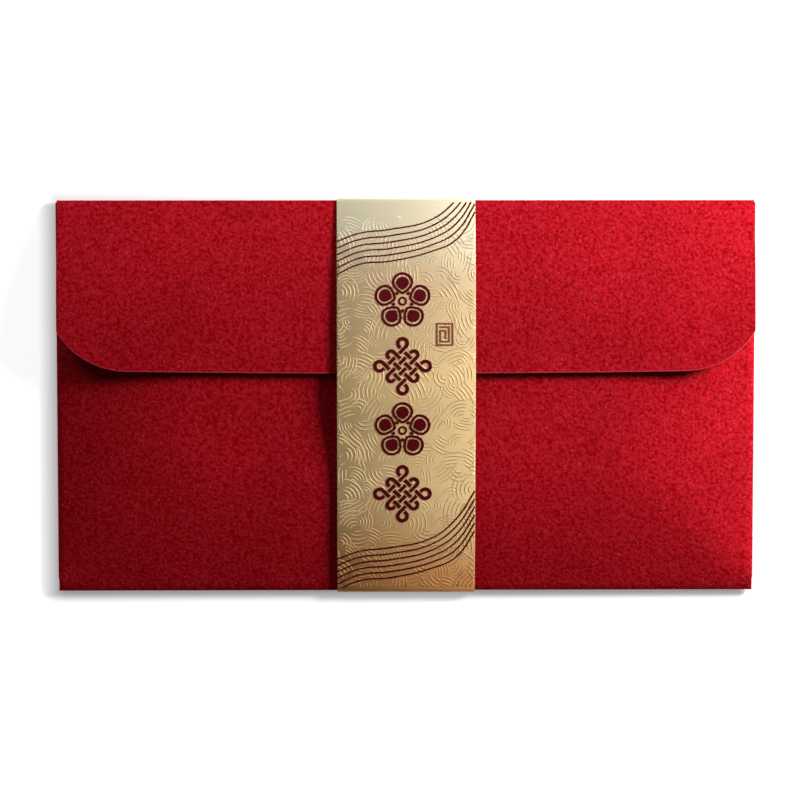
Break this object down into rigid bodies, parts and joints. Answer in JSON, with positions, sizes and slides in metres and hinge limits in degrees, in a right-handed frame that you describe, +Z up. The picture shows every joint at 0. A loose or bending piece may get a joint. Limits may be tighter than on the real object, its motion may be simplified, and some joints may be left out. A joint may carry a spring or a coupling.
{
  "type": "gift envelope",
  "caption": "Landscape gift envelope of red pearl card with a round-cornered flap, held shut by a gold card belly band that slides off sideways.",
  "frame": {"origin": "on the table, under the middle of the envelope as it lies on its back", "axes": "+X along the width, +Y towards the flap's crease, +Z up, out of the flap side"},
  "size_m": [0.17, 0.0964, 0.0078],
  "materials": {
    "red_card": "red pearl card with a fine mottled grain and a soft sheen",
    "gold_card": "satin gold foil card, embossed with curling strokes",
    "glue": "dried paper glue"
  },
  "bodies": {
    "pouch": {"rear_panel": "red_card", "pocket_panel": "red_card", "bottom_fold": "red_card", "left_side_fold": "red_card", "right_side_fold": "red_card", "left_glue_tab": "red_card", "right_glue_tab": "red_card", "left_tab_adhesive": "glue", "right_tab_adhesive": "glue"},
    "flap": {"flap_crease": "red_card", "closure_flap": "red_card"},
    "belly_band": {"band_front": "gold_card", "band_top_fold": "gold_card", "band_bottom_fold": "gold_card", "band_upper_lap": "gold_card", "band_lower_lap": "gold_card", "band_lap_adhesive": "glue"}
  },
  "joints": [
    {"name": "band_slide", "type": "slide", "parent": "pouch", "child": "belly_band", "axis": [1, 0, 0], "range_m": [-0.105, 0.105]},
    {"name": "flap_lift", "type": "hinge", "parent": "pouch", "child": "flap", "pos_m": [0, 0.0473, 0.00118], "axis": [-1, 0, 0], "range_deg": [-1.4, 0.8], "stiffness_Nm_per_rad": 0.1, "springref_deg": 0.21}
  ]
}
